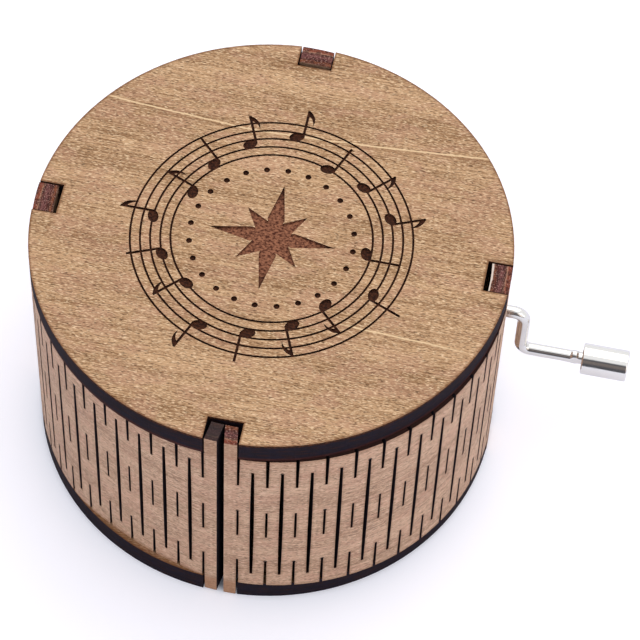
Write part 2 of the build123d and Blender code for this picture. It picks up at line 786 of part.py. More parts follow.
with BuildPart() as mount_screws:
    # Countersunk from beneath the bottom disc
    with BuildSketch(Plane.XY.offset(mount_head_recess)):
        with Locations(*mount_points):
            Circle(mount_head_radius)
    extrude(amount=mount_head_radius - mount_shank_radius, taper=45)
    with BuildSketch(Plane.XY.offset(mount_head_recess)):
        with Locations(*mount_points):
            Circle(mount_shank_radius)
    extrude(amount=plate_top + boss_height + mount_tip - mount_head_recess)
    with BuildSketch(Plane.XY.offset(mount_head_recess)):
        with Locations(*mount_points):
            Rectangle(2 * mount_head_radius, screw_slot_width)
            Rectangle(screw_slot_width, 2 * mount_head_radius)
    extrude(amount=screw_slot_depth, mode=Mode.SUBTRACT)

# ---------------------------------------------------------------- the pieces
pieces = {
    "top_disc": top_disc,
    "bottom_disc": bottom_disc,
    "side_wall": side_wall,
    "bedplate": bedplate,
    "mount_screws": mount_screws,
    "drum_bracket_front": drum_bracket_front,
    "drum_bracket_rear": drum_bracket_rear,
    "bracket_screws": bracket_screws,
    "worm_bridge": worm_bridge,
    "bridge_screws": bridge_screws,
    "comb_base": comb_base,
    "comb": comb,
    "bass_weights": bass_weights,
    "comb_screws": comb_screws,
    "drum_tube": drum_tube,
    "drum_pins": drum_pins,
    "drum_cap_front": drum_cap_front,
    "drum_cap_rear": drum_cap_rear,
    "drum_gear": drum_gear,
    "drum_arbor": drum_arbor,
    "worm": worm,
    "worm_shaft": worm_shaft,
    "shaft_clip": shaft_clip,
    "crank_wire": crank_wire,
    "knob_retainer": knob_retainer,
    "crank_knob": crank_knob,
}
for name, piece in pieces.items():
    piece.part.label = name
    export_step(piece.part, f"parts/{name}.step")
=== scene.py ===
# %% [markdown]
# # A round music box with a hand crank
#
# The real object is laser-cut plywood. Two discs are joined by a wall that is slit
# all over, so that it bends into a loop. A bent wire with a bright knob turns the
# movement inside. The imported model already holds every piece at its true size, so
# this file is mostly about surfaces: bare wood, charred cuts, nickel, brass and
# steel. Three pieces are modelled again: the wall, whose slits gape where it bends,
# the crank's wire, which flows into its pinch, and the knob, which has soft edges.

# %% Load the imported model
import json
from math import atan2, cos, degrees, hypot, pi, radians, sin

import bmesh
import bpy
from mathutils import Matrix, Vector


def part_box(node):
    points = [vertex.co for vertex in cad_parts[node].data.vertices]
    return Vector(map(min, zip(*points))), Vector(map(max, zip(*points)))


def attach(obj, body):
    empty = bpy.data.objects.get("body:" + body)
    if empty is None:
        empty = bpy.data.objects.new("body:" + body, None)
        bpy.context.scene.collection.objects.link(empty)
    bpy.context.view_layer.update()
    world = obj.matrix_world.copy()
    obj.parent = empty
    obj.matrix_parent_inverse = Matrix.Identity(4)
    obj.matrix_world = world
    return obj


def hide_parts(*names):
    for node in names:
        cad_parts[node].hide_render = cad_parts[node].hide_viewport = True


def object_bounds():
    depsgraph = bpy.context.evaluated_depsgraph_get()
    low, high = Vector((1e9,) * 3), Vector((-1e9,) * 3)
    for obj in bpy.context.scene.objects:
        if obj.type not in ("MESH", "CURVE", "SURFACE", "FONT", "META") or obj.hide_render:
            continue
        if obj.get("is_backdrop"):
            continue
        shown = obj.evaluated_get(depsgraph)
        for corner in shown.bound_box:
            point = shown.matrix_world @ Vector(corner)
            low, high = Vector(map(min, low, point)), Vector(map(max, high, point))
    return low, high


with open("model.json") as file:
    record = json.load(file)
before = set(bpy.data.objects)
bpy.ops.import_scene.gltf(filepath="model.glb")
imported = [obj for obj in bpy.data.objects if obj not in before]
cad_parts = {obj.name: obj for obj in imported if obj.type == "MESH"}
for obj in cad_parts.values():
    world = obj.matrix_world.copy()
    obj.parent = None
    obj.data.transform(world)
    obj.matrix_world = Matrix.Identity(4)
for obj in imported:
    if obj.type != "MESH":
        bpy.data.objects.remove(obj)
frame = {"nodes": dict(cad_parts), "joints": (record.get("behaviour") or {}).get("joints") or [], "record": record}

cad_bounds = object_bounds()
nodes = frame["nodes"]
scene = bpy.context.scene
print(len(nodes), "pieces come from the packed model")

# %% [markdown]
# ## Sizes that the finishes need
#
# A procedural finish has to know where the edges are. The char of the laser follows
# the slits of the wall, and the engraving is darker than the lid around it. Where a
# size can be read from the model's own boxes it is, and the rest are named here.

# %% Sizes of the case, in metres and in millimetres
MM = 0.001

lid_low, lid_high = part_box("top_disc")
case_top = lid_high.z / MM
lid_bottom = lid_low.z / MM
floor_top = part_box("bottom_disc")[1].z / MM
clear_height = lid_bottom - floor_top
rim_radius = round(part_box("side_wall")[1].x / MM, 1)  # the wall's tabs end flush with the rims
wall_thickness = 3.0
notch_half_width = 2.65
notch_slack = 0.8  # behind each tab
notch_floor = rim_radius - wall_thickness - notch_slack
engraving_depth = 0.35
star_radius = 9.5
DEGREE = radians(1) * rim_radius  # the length of one degree round the rim
print("the case is", round(case_top, 2), "mm high and", 2 * rim_radius, "mm across")

# %% [markdown]
# ## The camera
#
# The photograph was taken from well above, a little to the right of the seam, with
# a long lens, and the camera was tilted slightly about its own axis. A long lens far
# away gives the same gentle perspective. The numbers are angles and a distance, so
# the camera is built by turning and stepping back, not by aiming at pixels.

# %% Camera at the photograph's angle
CAMERA_YAW = radians(8.73)
CAMERA_ELEVATION = radians(57.20)
CAMERA_ROLL = radians(2.97)
CAMERA_DISTANCE = 463.2 * MM
CAMERA_SLIDE = Vector((7.15 * MM, -12.27 * MM))  # sideways and upwards, to frame the box
SENSOR_WIDTH = 36.0
FOCAL_LENGTH = 175.9  # in the same unit as the sensor's width

aim = Vector((0, 0, case_top * MM))
tilt = Matrix.Rotation(CAMERA_YAW, 3, "Z") @ Matrix.Rotation(pi / 2 - CAMERA_ELEVATION, 3, "X")
turned = tilt @ Matrix.Rotation(CAMERA_ROLL, 3, "Z")
slide = turned @ Vector((*CAMERA_SLIDE, CAMERA_DISTANCE))

camera = bpy.data.objects.new("camera", bpy.data.cameras.new("camera"))
camera.data.sensor_width = SENSOR_WIDTH
camera.data.lens = FOCAL_LENGTH
camera.data.clip_start = 10 * MM
camera.matrix_world = Matrix.Translation(aim + slide) @ turned.to_4x4()
scene.collection.objects.link(camera)
scene.camera = camera
print("camera stands", [round(c / MM) for c in camera.location], "mm from the box's foot")

# %% [markdown]
# ## Shader sums as Python
#
# Most masks below are small sums: a distance, a soft step, a product. Typed as nodes
# they would be hard to read, so one class wraps an output socket and lets Python's
# own signs add the Math nodes. Any other node comes from its `node` method.

# %% A socket that can be added, multiplied and compared
class Wire:
    """One output of a material's nodes."""

    def __init__(self, tree, socket):
        self.tree = tree
        self.socket = socket

    def node(self, kind, settings=None, inputs=None, output=0):
        """Adds a node to the same material, and returns one of its outputs."""
        made = self.tree.nodes.new(kind)
        for name, value in (settings or {}).items():
            if name == "stops":
                ramp = made.color_ramp
                while len(ramp.elements) < len(value):
                    ramp.elements.new(0.5)
                for element, (position, colour) in zip(ramp.elements, value):
                    element.position = position
                    element.color = (*colour, 1)
            else:
                setattr(made, name, value)
        for name, value in (inputs or {}).items():
            if isinstance(value, Wire):
                self.tree.links.new(value.socket, made.inputs[name])
            else:
                made.inputs[name].default_value = value
        return Wire(self.tree, made.outputs[output])

    def math(self, operation, *others):
        """One Math node on this value and the others."""
        numbers = dict(enumerate((self, *others)))
        return self.node("ShaderNodeMath", {"operation": operation}, numbers)

    def __add__(self, other):
        return self.math("ADD", other)

    __radd__ = __add__

    def __sub__(self, other):
        return self.math("SUBTRACT", other)

    def __rsub__(self, other):
        return self.math("MULTIPLY_ADD", -1.0, other)

    def __mul__(self, other):
        return self.math("MULTIPLY", other)

    __rmul__ = __mul__

    def __truediv__(self, other):
        return self.math("DIVIDE", other)

    def __abs__(self):
        return self.math("ABSOLUTE")

    def least(self, other):
        return self.math("MINIMUM", other)

    def most(self, other):
        return self.math("MAXIMUM", other)

    def step(self, low, high):
        """0 below low and 1 above high, with a soft rise between. low may be the larger."""
        limits = {"Value": self, "From Min": low, "From Max": high}
        return self.node("ShaderNodeMapRange", {"interpolation_type": "SMOOTHSTEP"}, limits)


# %% Colours, and one colour over another
SCREEN_GAMMA = 2.2


def srgb(red, green, blue):
    """A colour as it is read from a screen, 0 to 255, in the linear values of a shader."""
    return tuple((c / 255) ** SCREEN_GAMMA for c in (red, green, blue))


def darker(colour, share):
    """A colour that keeps only a share of its light."""
    return tuple(c * share for c in colour)


def paint(mask, under, over):
    """The colour over, where mask is 1, on the colour under."""
    made = mask.tree.nodes.new("ShaderNodeMix")
    made.data_type = "RGBA"
    mask.tree.links.new(mask.socket, made.inputs["Factor"])
    for name, colour in {"A": under, "B": over}.items():
        socket = [s for s in made.inputs if s.name == name and s.type == "RGBA"][0]
        if isinstance(colour, Wire):
            mask.tree.links.new(colour.socket, socket)
        else:
            socket.default_value = (*colour, 1)
    return Wire(mask.tree, [s for s in made.outputs if s.type == "RGBA"][0])


# %% [markdown]
# ## Starting and closing a material
#
# Every finish starts from Object coordinates in millimetres, because then a grain
# line that is 0.3 long is 0.3 mm long on the real thing. Every finish ends in one
# Principled shader, which gets its varying colour, roughness and bump from the
# sums, and its steady values as plain numbers.

# %% Begin and end of every finish
def start_finish(name):
    """A new material. Returns it, the place in millimetres, and x, y and z apart."""
    material = bpy.data.materials.new(name)
    material.use_nodes = True
    tree = material.node_tree
    tree.nodes.clear()
    metres = Wire(tree, tree.nodes.new("ShaderNodeTexCoord").outputs["Object"])
    place = metres.node("ShaderNodeVectorMath", {"operation": "SCALE"}, {0: metres, "Scale": 1 / MM})
    apart = [place.node("ShaderNodeSeparateXYZ", None, {0: place}, axis) for axis in range(3)]
    return material, place, apart


def send_out(shader, kind="ShaderNodeOutputMaterial"):
    """Ends the nodes of a material, or of the world, in a shader."""
    end = shader.tree.nodes.new(kind)
    shader.tree.links.new(shader.socket, end.inputs["Surface"])


def close_finish(material, colour, roughness, height, bump_depth, steady):
    """Ends a material. A height of 1 is bump_depth millimetres. steady holds the plain numbers."""
    bump = height.node("ShaderNodeBump", None, {"Distance": bump_depth * MM, "Height": height})
    varying = {"Base Color": colour, "Roughness": roughness, "Normal": bump}
    send_out(height.node("ShaderNodeBsdfPrincipled", None, {**varying, **steady}))
    return material


# %% Noise that is stretched along the grain, and the way a surface faces
def stretched(place, along, across, up):
    """The place with each direction counted in lengths of its own, in millimetres."""
    scale = (1 / along, 1 / across, 1 / up)
    return place.node("ShaderNodeMapping", {"vector_type": "POINT"}, {"Vector": place, "Scale": scale})


def noise(place, detail=2.0, roughness=0.5, seed=0.0, distortion=0.0):
    """Soft cloudy values around a half, one cloud per unit of place."""
    values = {"Scale": 1.0, "Detail": detail, "Roughness": roughness, "Distortion": distortion, "W": seed}
    return place.node("ShaderNodeTexNoise", {"noise_dimensions": "4D"}, {"Vector": place, **values})


def facing(place):
    """The normal of the surface, split into its x, y and z."""
    geometry = place.tree.nodes.new("ShaderNodeNewGeometry")
    normal = Wire(place.tree, geometry.outputs["True Normal"])
    return [normal.node("ShaderNodeSeparateXYZ", None, {0: normal}, axis) for axis in range(3)]


# %% [markdown]
# ## Bare plywood
#
# The face veneer is a walnut-brown hardwood. Up close it is fine fibres, pores and
# pale flecks, a tenth or two of a millimetre wide, over slow bands of warmer and
# greyer wood. Layers of stretched noise give that, each with its own length along the
# grain. The laser leaves every cut edge nearly black, a little blue, with the plies
# showing as faint stripes.

# %% Wood grain
def wood_grain(grain, pale, dark, warm, fleck):
    """Colour and height of veneer. grain is a place in millimetres, x along the grain."""
    # The three lengths of a layer run along the grain, across it and through the sheet
    bands = noise(stretched(grain, 42.0, 5.0, 9.0), detail=3.0, seed=1.0, distortion=0.6)
    patches = noise(stretched(grain, 6.0, 2.6, 4.0), detail=2.0, seed=2.0, distortion=0.5)
    fibres = noise(stretched(grain, 8.0, 0.18, 0.4), detail=3.0, roughness=0.6, seed=3.0)
    speckle = noise(stretched(grain, 0.45, 0.15, 0.3), detail=1.0, roughness=0.6, seed=6.0)
    pores = noise(stretched(grain, 0.75, 0.13, 0.4), detail=1.0, seed=4.0)
    flecks = noise(stretched(grain, 0.70, 0.13, 0.4), detail=1.0, seed=5.0)

    tone = fibres * 0.52 + speckle * 0.28 + bands * 0.20
    colour = paint(tone.step(0.41, 0.58), dark, pale)
    colour = paint(patches.step(0.44, 0.64) * 0.45, colour, warm)
    colour = paint(flecks.step(0.54, 0.66) * 0.75, colour, fleck)
    pore_mask = pores.step(0.42, 0.32)
    colour = paint(pore_mask * 0.80, colour, darker(dark, 0.36))
    height = fibres * 0.6 - pore_mask * 0.6
    return colour, height


# %% Charred edges
CHAR = srgb(34, 28, 36)
CHAR_WARM = srgb(52, 32, 30)
CHAR_BLUE = srgb(36, 34, 52)
SCORCH = srgb(112, 70, 42)


def char_colour(place, through, along):
    """The cut edge of plywood. through counts through the sheet, along follows the cut."""
    sheet = {0: along / 2.5, 1: through / 0.5, 2: through / 0.5}
    stripes = noise(through.node("ShaderNodeCombineXYZ", None, sheet), detail=2.0, seed=7.0)
    blotches = noise(stretched(place, 1.5, 1.5, 0.8), detail=3.0, seed=8.0)
    colour = paint(stripes.step(0.46, 0.66) * 0.8, CHAR, CHAR_WARM)
    return paint(blotches.step(0.40, 0.70) * 0.35, colour, CHAR_BLUE)


def turned_angle(x, y):
    """Degrees round the box, from -180 to 180, 0 at the back and the jump at the seam."""
    return (x * -1.0).math("ARCTAN2", y) * (180 / pi)


# %% Long pale grain lines
# Each line: its y where x is 0, its lean, its bow, and where its left and right ends are
grain_lines = (
    (19.0, 0.017, 0.0019, -33.0, 33.0),
    (-12.0, -0.06, 0.0, 10.0, 33.0),
)
LINE_WANDER = 1.6  # between the furthest to one side and the furthest to the other
LINE_FADE = 6.0  # the length over which an end fades
SHADE_OFFSET = 0.45  # the darker strip of wood beside a line


def with_grain_lines(colour, place, x, y):
    """Draws the pale grain lines over a colour, each with a darker strip beside it."""
    wander = noise(stretched(place, 14.0, 60.0, 60.0), seed=9.0) * LINE_WANDER - LINE_WANDER / 2
    for crossing, lean, bow, left, right in grain_lines:
        aside = y + wander - x * lean - x * x * bow - crossing
        along = x.step(left, left + LINE_FADE) * x.step(right, right - LINE_FADE)
        colour = paint(abs(aside).step(0.18, 0.08) * along * 0.85, colour, srgb(240, 208, 164))
        strip = abs(aside + SHADE_OFFSET).step(0.40, 0.05)
        colour = paint(strip * along * 0.30, colour, srgb(134, 96, 66))
    return colour


# %% Marks of the laser on the discs
def beside_cuts(x, y, radius):
    """1 in a thin line beside the rim and the notches, where the veneer is scorched."""
    rim = radius.step(rim_radius - 0.45, rim_radius - 0.05)
    across = abs(x).least(abs(y)).step(notch_half_width + 0.35, notch_half_width + 0.05)
    outward = abs(x).most(abs(y)).step(notch_floor - 0.40, notch_floor - 0.10)
    return rim.most(across * outward)


def browner_ledge(x, z, radius):
    """1 on the lower disc's ledge along the foot of the wall, but for its far left: where the ledge is painted
    browner.
    """
    ledge = z.step(floor_top - 0.1, floor_top - 0.05) * z.step(floor_top + 0.1, floor_top + 0.05)
    return ledge * radius.step(rim_radius - 2.0, rim_radius - 0.6) * x.step(-28.0, -16.0)


def burnt_floor(place, radius):
    """Colour and height of the engraving: narrow lines burn black, and the open star stays redder."""
    burnt = noise(stretched(place, 0.5, 0.35, 0.5), detail=3.0, roughness=0.6, seed=11.0)
    narrow = paint(burnt.step(0.38, 0.66), srgb(42, 24, 18), srgb(84, 50, 34))
    open_floor = paint(burnt.step(0.36, 0.64), srgb(74, 40, 30), srgb(158, 106, 80))
    return paint(radius.step(star_radius, star_radius - 4.0), narrow, open_floor), burnt


# %% Both discs: veneer on the faces, char on the edges
def disc_finish(name, engraved):
    """The finish of a disc, with the floor of the engraving where there is one."""
    material, place, (x, y, z) = start_finish(name)
    radius = (x * x + y * y).math("SQRT")
    pale, dark, warm = srgb(205, 166, 127), srgb(141, 106, 75), srgb(189, 144, 118)
    colour, height = wood_grain(place, pale, dark, warm, srgb(244, 212, 172))
    colour = with_grain_lines(colour, place, x, y)
    colour = paint(beside_cuts(x, y, radius) * 0.65, colour, SCORCH)
    # The ledge along the wall's foot is painted browner
    colour = paint(browner_ledge(x, z, radius) * 0.45, colour, SCORCH)

    # The last ply of the edge is less burnt and shows as a reddish line
    edge = abs(facing(place)[2]).step(0.6, 0.4)
    around = turned_angle(x, y) * DEGREE
    last_ply = z.step(lid_bottom + 0.75, lid_bottom + 0.35) * z.step(floor_top, floor_top + 1.0)
    char = paint(last_ply * 0.55, char_colour(place, z, around), srgb(78, 42, 34))
    colour = paint(edge, colour, char)
    if engraved:
        deepest = case_top - engraving_depth
        sunk = z.step(case_top - 0.05, case_top - 0.12) * z.step(deepest - 0.15, deepest - 0.05)
        floor_colour, floor_height = burnt_floor(place, radius)
        colour = paint(sunk, colour, floor_colour)
        height = height * (1.0 - sunk) + sunk * floor_height
    ridges = noise(around.node("ShaderNodeCombineXYZ", None, {0: around / 0.22, 1: z / 6.0}), seed=12.0)
    height = height * (1.0 - edge) + edge * ridges * 1.5
    return close_finish(material, colour, 0.74 + edge * 0.1, height, 0.035, {"Specular IOR Level": 0.12})


# %% [markdown]
# ## The slit wall
#
# Its grain runs round the box, so the place is rolled out flat first: the distance
# round the wall, the height and the depth into the sheet. The slits sit on a regular
# pitch, and the same sums that count the pitch paint a soft brown scorch beside each
# slit and the small round mark where the laser pierced the sheet.

# %% Where the slits are
SLIT_PITCHES = 12
SLIT_START = 4.16  # degrees from the middle of a tab to the first slit
SLIT_PITCH = (90 - 2 * SLIT_START) / SLIT_PITCHES
SLIT_MARGIN = 3.4  # from a disc to the nearest end of a long slit
LONG_SLIT_LOW = floor_top + SLIT_MARGIN
LONG_SLIT_TOP = lid_bottom - SLIT_MARGIN
SHORT_SLIT = clear_height / 5
PAST_END = 0.4  # the scorch fades this far past the end of a slit
print("a slit every", round(SLIT_PITCH * DEGREE / 2, 2), "mm, long and short ones by turns")


def near_columns(turns, offset):
    """Millimetres to the nearest of the columns that stand at whole turns plus offset."""
    share = (turns - offset + 0.5).math("FRACT") - 0.5
    return abs(share) * (SLIT_PITCH * DEGREE)


def slit_marks(rolled, angle, z):
    """Two masks: the soft scorch beside the slits, and the marks where the laser pierced the sheet."""
    # Quarters of the wall first, then pitches inside a quarter
    quarter = (angle / 90.0 + 4.0).math("FRACT") * 90.0
    turns = (quarter - SLIT_START) / SLIT_PITCH
    on_pattern = turns.step(-0.4, -0.3) * turns.step(SLIT_PITCHES + 0.4, SLIT_PITCHES + 0.3)
    level = ((z - floor_top) / (2 * SHORT_SLIT)).math("FRACT") * (2 * SHORT_SLIT)
    over_foot = z.step(LONG_SLIT_LOW - PAST_END, LONG_SLIT_LOW)
    in_long = over_foot * z.step(LONG_SLIT_TOP + PAST_END, LONG_SLIT_TOP)
    in_short = level.step(SHORT_SLIT + PAST_END, SHORT_SLIT)
    beside_long = near_columns(turns, 0.5)
    beside_short = near_columns(turns, 0.0)
    scorch = (beside_long.step(0.75, 0.15) * in_long).most(beside_short.step(0.65, 0.12) * in_short)

    # The piercing marks sit at the upper ends of the slits, and only some of them show
    over_long = z - LONG_SLIT_TOP
    over_short = level - SHORT_SLIT
    from_long = (beside_long * beside_long + over_long * over_long).math("SQRT")
    from_short = (beside_short * beside_short + over_short * over_short).math("SQRT")
    lottery = noise(stretched(rolled, 5.0, 30.0, 30.0), detail=0.0, seed=15.0).step(0.50, 0.56)
    pierce = from_long.step(0.36, 0.26).most(from_short.step(0.33, 0.23)) * lottery
    return scorch * on_pattern, pierce * on_pattern


# %% The plies on the ends of the tabs
# Shares of the sheet's thickness from the outside inwards, and the colour of the ply there
ply_stops = (
    (0.00, srgb(108, 56, 42)),
    (0.20, srgb(134, 72, 54)),
    (0.26, srgb(166, 124, 100)),
    (0.31, srgb(88, 54, 46)),
    (0.52, srgb(116, 72, 70)),
    (0.72, srgb(76, 38, 34)),
    (0.91, srgb(128, 76, 52)),
    (1.00, srgb(84, 46, 34)),
)


def ply_stripes(rolled, depth, angle, x, z):
    """Reddish plies with burnt streaks and small glints, as they show where a tab is cut off."""
    wobble = noise(stretched(rolled, 1.2, 1.2, 1.2), detail=2.0, seed=16.0) * 0.12 - 0.06
    share = depth / wall_thickness + wobble
    plies = share.node("ShaderNodeValToRGB", {"stops": ply_stops}, {"Fac": share})
    streaks = noise(stretched(rolled, 0.7, 0.7, 0.25), detail=2.0, seed=17.0)
    plies = paint(streaks.step(0.46, 0.60) * 0.75, plies, CHAR_WARM)
    glints = noise(stretched(rolled, 0.35, 0.35, 0.12), detail=1.0, seed=18.0)
    plies = paint(glints.step(0.55, 0.64) * 0.65, plies, srgb(180, 140, 126))

    # One tab was cut clean along its inner ply, the wall's own edges are burnt brown, and
    # the half tab left of the seam is greyer than the rest
    clean_ply = share.step(0.91, 0.95) * x.step(20.0, 30.0)
    plies = paint(clean_ply, plies, srgb(222, 204, 190))
    own_edge = z.step(lid_bottom + 1.0, lid_bottom + 0.5) * z.step(floor_top + 1.0, floor_top + 1.5)
    plies = paint(own_edge, plies, srgb(52, 32, 28))
    return paint(angle.step(175.2, 175.6) * 0.85, plies, srgb(48, 43, 44))


# %% The finish of the wall
def wall_finish(name):
    """Veneer outside and inside, char in the slits, and plies on the ends of the tabs."""
    material, place, (x, y, z) = start_finish(name)
    normal_x, normal_y, normal_z = facing(place)
    angle = turned_angle(x, y)
    radius = (x * x + y * y).math("SQRT")
    around = angle * DEGREE
    depth = rim_radius - radius
    rolled = around.node("ShaderNodeCombineXYZ", None, {0: around, 1: z, 2: depth})
    pale, dark, warm = srgb(214, 175, 146), srgb(154, 118, 93), srgb(200, 152, 128)
    colour, height = wood_grain(rolled, pale, dark, warm, srgb(234, 200, 170))
    scorch, pierce = slit_marks(rolled, angle, z)
    outside = depth.step(0.45, 0.25)
    colour = paint(scorch * outside * 0.30, colour, SCORCH)

    # Beside the discs the wood is browner, partly the scorch of the wall's cut edges and partly painted shade
    # under the lid's overhang and at the wall's foot, and the tabs are browner still
    low = z.step(floor_top + 0.9, floor_top + 0.1)
    high = z.step(lid_bottom - 0.9, lid_bottom - 0.1)
    colour = paint(low.most(high) * 0.35, colour, srgb(150, 104, 74))
    colour = paint(z.step(floor_top, floor_top - 0.5) * 0.40, colour, srgb(172, 118, 80))

    # Cut edges are the faces that don't look straight out or in
    straight = abs(normal_x * x + normal_y * y) / radius
    edge = straight.step(0.93, 0.80)
    level_face = abs(normal_z).step(0.5, 0.7)
    plies = ply_stripes(rolled, depth, angle, x, z)
    char = paint(level_face, char_colour(place, depth, around + z), plies)
    colour = paint(edge, colour, char)
    colour = paint(pierce * outside, colour, srgb(26, 20, 18))
    return close_finish(material, colour, 0.52 + edge * 0.3, height, 0.03, {"Specular IOR Level": 0.20})


# %% [markdown]
# ## Metals and plastic
#
# Nickel plate is bright and nearly smooth: what shows on it is the room. So its
# material holds only faint drawing lines, and the world below supplies the dark
# band that every glossy cylinder in a studio has. The parts inside the case are
# cast, turned, ground or pressed, and each way of working leaves its own marks.

# %% Finishes of the crank and of the movement
def plated(name, tint, sheen, lines):
    """Bright plate with fine lines. lines gives the length of a line along x, y and z."""
    material, place, _ = start_finish(name)
    marks = noise(stretched(place, *lines), detail=3.0, roughness=0.6, seed=21.0)
    smudge = noise(stretched(place, 2.5, 2.5, 2.5), detail=2.0, seed=22.0)
    roughness = smudge * 0.10 + marks * 0.05 + (sheen - 0.07)
    colour = paint(smudge.step(0.35, 0.75) * 0.25, tint, darker(tint, 0.90))
    return close_finish(material, colour, roughness, marks, 0.004, {"Metallic": 1.0})


def worked_metal(name, tint, sheen, grit, line_height, metallic=1.0):
    """Metal whose marks are grit long along x, y and z, with a duller skin in patches."""
    material, place, _ = start_finish(name)
    marks = noise(stretched(place, *grit), detail=4.0, roughness=0.6, seed=31.0)
    dull = noise(stretched(place, 3.0, 3.0, 3.0), detail=3.0, seed=32.0)
    colour = paint(dull.step(0.42, 0.72) * 0.5, tint, darker(tint, 0.62))
    colour = paint(marks.step(0.58, 0.70) * 0.3, colour, darker(tint, 0.62))
    roughness = dull * 0.22 + marks * 0.08 + (sheen - 0.15)
    return close_finish(material, colour, roughness, marks, line_height, {"Metallic": metallic})


def turned_metal(name, tint, sheen, centre, axis):
    """Metal with rings round an axis, which runs along X or Y through the centre."""
    material, place, (x, y, z) = start_finish(name)
    along, aside = (x, y - centre.y) if axis == "X" else (y, x - centre.x)
    above = z - centre.z
    off_axis = (aside * aside + above * above).math("SQRT")
    section = {0: along / 0.16, 1: off_axis / 0.16}
    rings = noise(along.node("ShaderNodeCombineXYZ", None, section), seed=41.0)
    dull = noise(stretched(place, 3.0, 3.0, 3.0), detail=3.0, seed=42.0)
    colour = paint(dull.step(0.45, 0.75) * 0.5, tint, darker(tint, 0.66))
    roughness = dull * 0.18 + rings * 0.10 + (sheen - 0.12)
    return close_finish(material, colour, roughness, rings, 0.008, {"Metallic": 1.0})


def moulded_plastic(name, tint):
    """Plastic with a fine moulded skin and faint stains."""
    material, place, _ = start_finish(name)
    skin = noise(stretched(place, 0.25, 0.25, 0.25), detail=3.0, seed=51.0)
    stain = noise(stretched(place, 4.0, 4.0, 4.0), detail=2.0, seed=52.0)
    colour = paint(stain.step(0.45, 0.75) * 0.4, tint, darker(tint, 0.85))
    return close_finish(material, colour, skin * 0.15 + 0.34, skin, 0.01, {"Subsurface Weight": 0.1})


# %% One finish for each material slot
BRASS = (0.74, 0.56, 0.27)
STEEL = (0.60, 0.60, 0.59)
joint_places = {joint["name"]: Vector(joint["pos_m"]) / MM for joint in frame["joints"]}
drum_centre = joint_places["drum_turn"]
shaft_centre = joint_places["crank_turn"]

finishes = {
    "lid_plywood": disc_finish("lid_plywood", engraved=True),
    "base_plywood": disc_finish("base_plywood", engraved=False),
    "wall_plywood": wall_finish("wall_plywood"),
    "zinc_casting": worked_metal("zinc_casting", (0.52, 0.53, 0.53), 0.48, (0.35, 0.35, 0.35), 0.03),
    "screw_steel": worked_metal("screw_steel", (0.66, 0.66, 0.63), 0.32, (0.8, 0.1, 0.1), 0.01),
    "plated_steel": worked_metal("plated_steel", (0.70, 0.69, 0.66), 0.28, (0.15, 0.15, 2.5), 0.008),
    "comb_steel": worked_metal("comb_steel", (0.50, 0.51, 0.53), 0.34, (0.08, 3.0, 0.08), 0.012),
    "lead": worked_metal("lead", (0.22, 0.23, 0.25), 0.62, (0.4, 0.4, 0.4), 0.03, metallic=0.7),
    "drum_brass": turned_metal("drum_brass", BRASS, 0.26, drum_centre, "Y"),
    "pin_steel": worked_metal("pin_steel", STEEL, 0.30, (0.2, 0.2, 0.2), 0.004),
    "gear_plastic": moulded_plastic("gear_plastic", srgb(232, 230, 218)),
    "shaft_steel": turned_metal("shaft_steel", STEEL, 0.24, shaft_centre, "X"),
    "worm_brass": turned_metal("worm_brass", BRASS, 0.26, shaft_centre, "X"),
    "crank_nickel": plated("crank_nickel", (0.80, 0.79, 0.78), 0.15, (2.5, 0.12, 0.12)),
    "knob_nickel": plated("knob_nickel", (0.82, 0.81, 0.80), 0.13, (3.0, 0.10, 0.10)),
}

slot_of = {part["node"]: part["material_slot"] for part in frame["record"]["subparts"]}
for name, piece in nodes.items():
    piece.data.materials.clear()
    piece.data.materials.append(finishes[slot_of[name]])
print(len(finishes), "finishes on", len(nodes), "nodes")

# %% [markdown]
# ## The bent wall
#
# A flat strip of plywood becomes a loop because each slit opens on the outside. Each
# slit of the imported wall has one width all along, so the wall's shape is taken as it
# is, cut across at some heights to get points along the slits, and then the outer
# corners of each slit are drawn apart: the long slits gape like a lens, and the short
# ones at their open ends. On the left the springy wall also lies out as far as the
# discs' rims, and just before the seam it draws in and leaves a ledge on the lower
# disc.

# %% Sizes of the bend
WALL_OVAL = 0.6  # the loop's half lengths are this much more and less than a round one's
LEFT_FLUSH = ((94.0, 102.0), (150.0, 134.0))  # degrees where the wall swells out, and back in
SEAM_TUCK = ((142.0, 158.0), (175.0, 168.0))  # degrees where it draws in, and back out
TUCK_DEPTH = 0.35
CUTS_ALONG_SLIT = 10
REACH = 0.26  # a point this near to the middle of a slit is one of its corners
SAME_PLACE = 1e-3  # points that are nearer to each other than this are one point

# Rows of slits: lowest and highest point, the pitch they start at, and how far each
# side is drawn away at the bottom, in the middle and at the top
slit_rows = (
    (LONG_SLIT_LOW, LONG_SLIT_TOP, 0.5, (0.0, 0.10, 0.0)),
    (floor_top, floor_top + SHORT_SLIT, 0.0, (0.08, 0.0, 0.02)),
    (floor_top + 2 * SHORT_SLIT, floor_top + 3 * SHORT_SLIT, 0.0, (0.0, 0.03, 0.0)),
    (floor_top + 4 * SHORT_SLIT, lid_bottom, 0.0, (0.03, 0.0, 0.11)),
)


def smooth(value, low, high):
    """0 at low and 1 at high, with a soft rise between."""
    share = min(max((value - low) / (high - low), 0), 1)
    return share * share * (3 - 2 * share)


def between(angle, spans):
    """1 between two soft borders, each of which is a span of degrees."""
    rise, fall = spans
    return smooth(angle, *rise) * smooth(angle, *fall)


def oval_radius(direction, mean_radius):
    """How far from the axis an oval loop lies. direction counts from its long axis."""
    long_half, short_half = mean_radius + WALL_OVAL, mean_radius - WALL_OVAL
    return long_half * short_half / hypot(short_half * cos(direction), long_half * sin(direction))


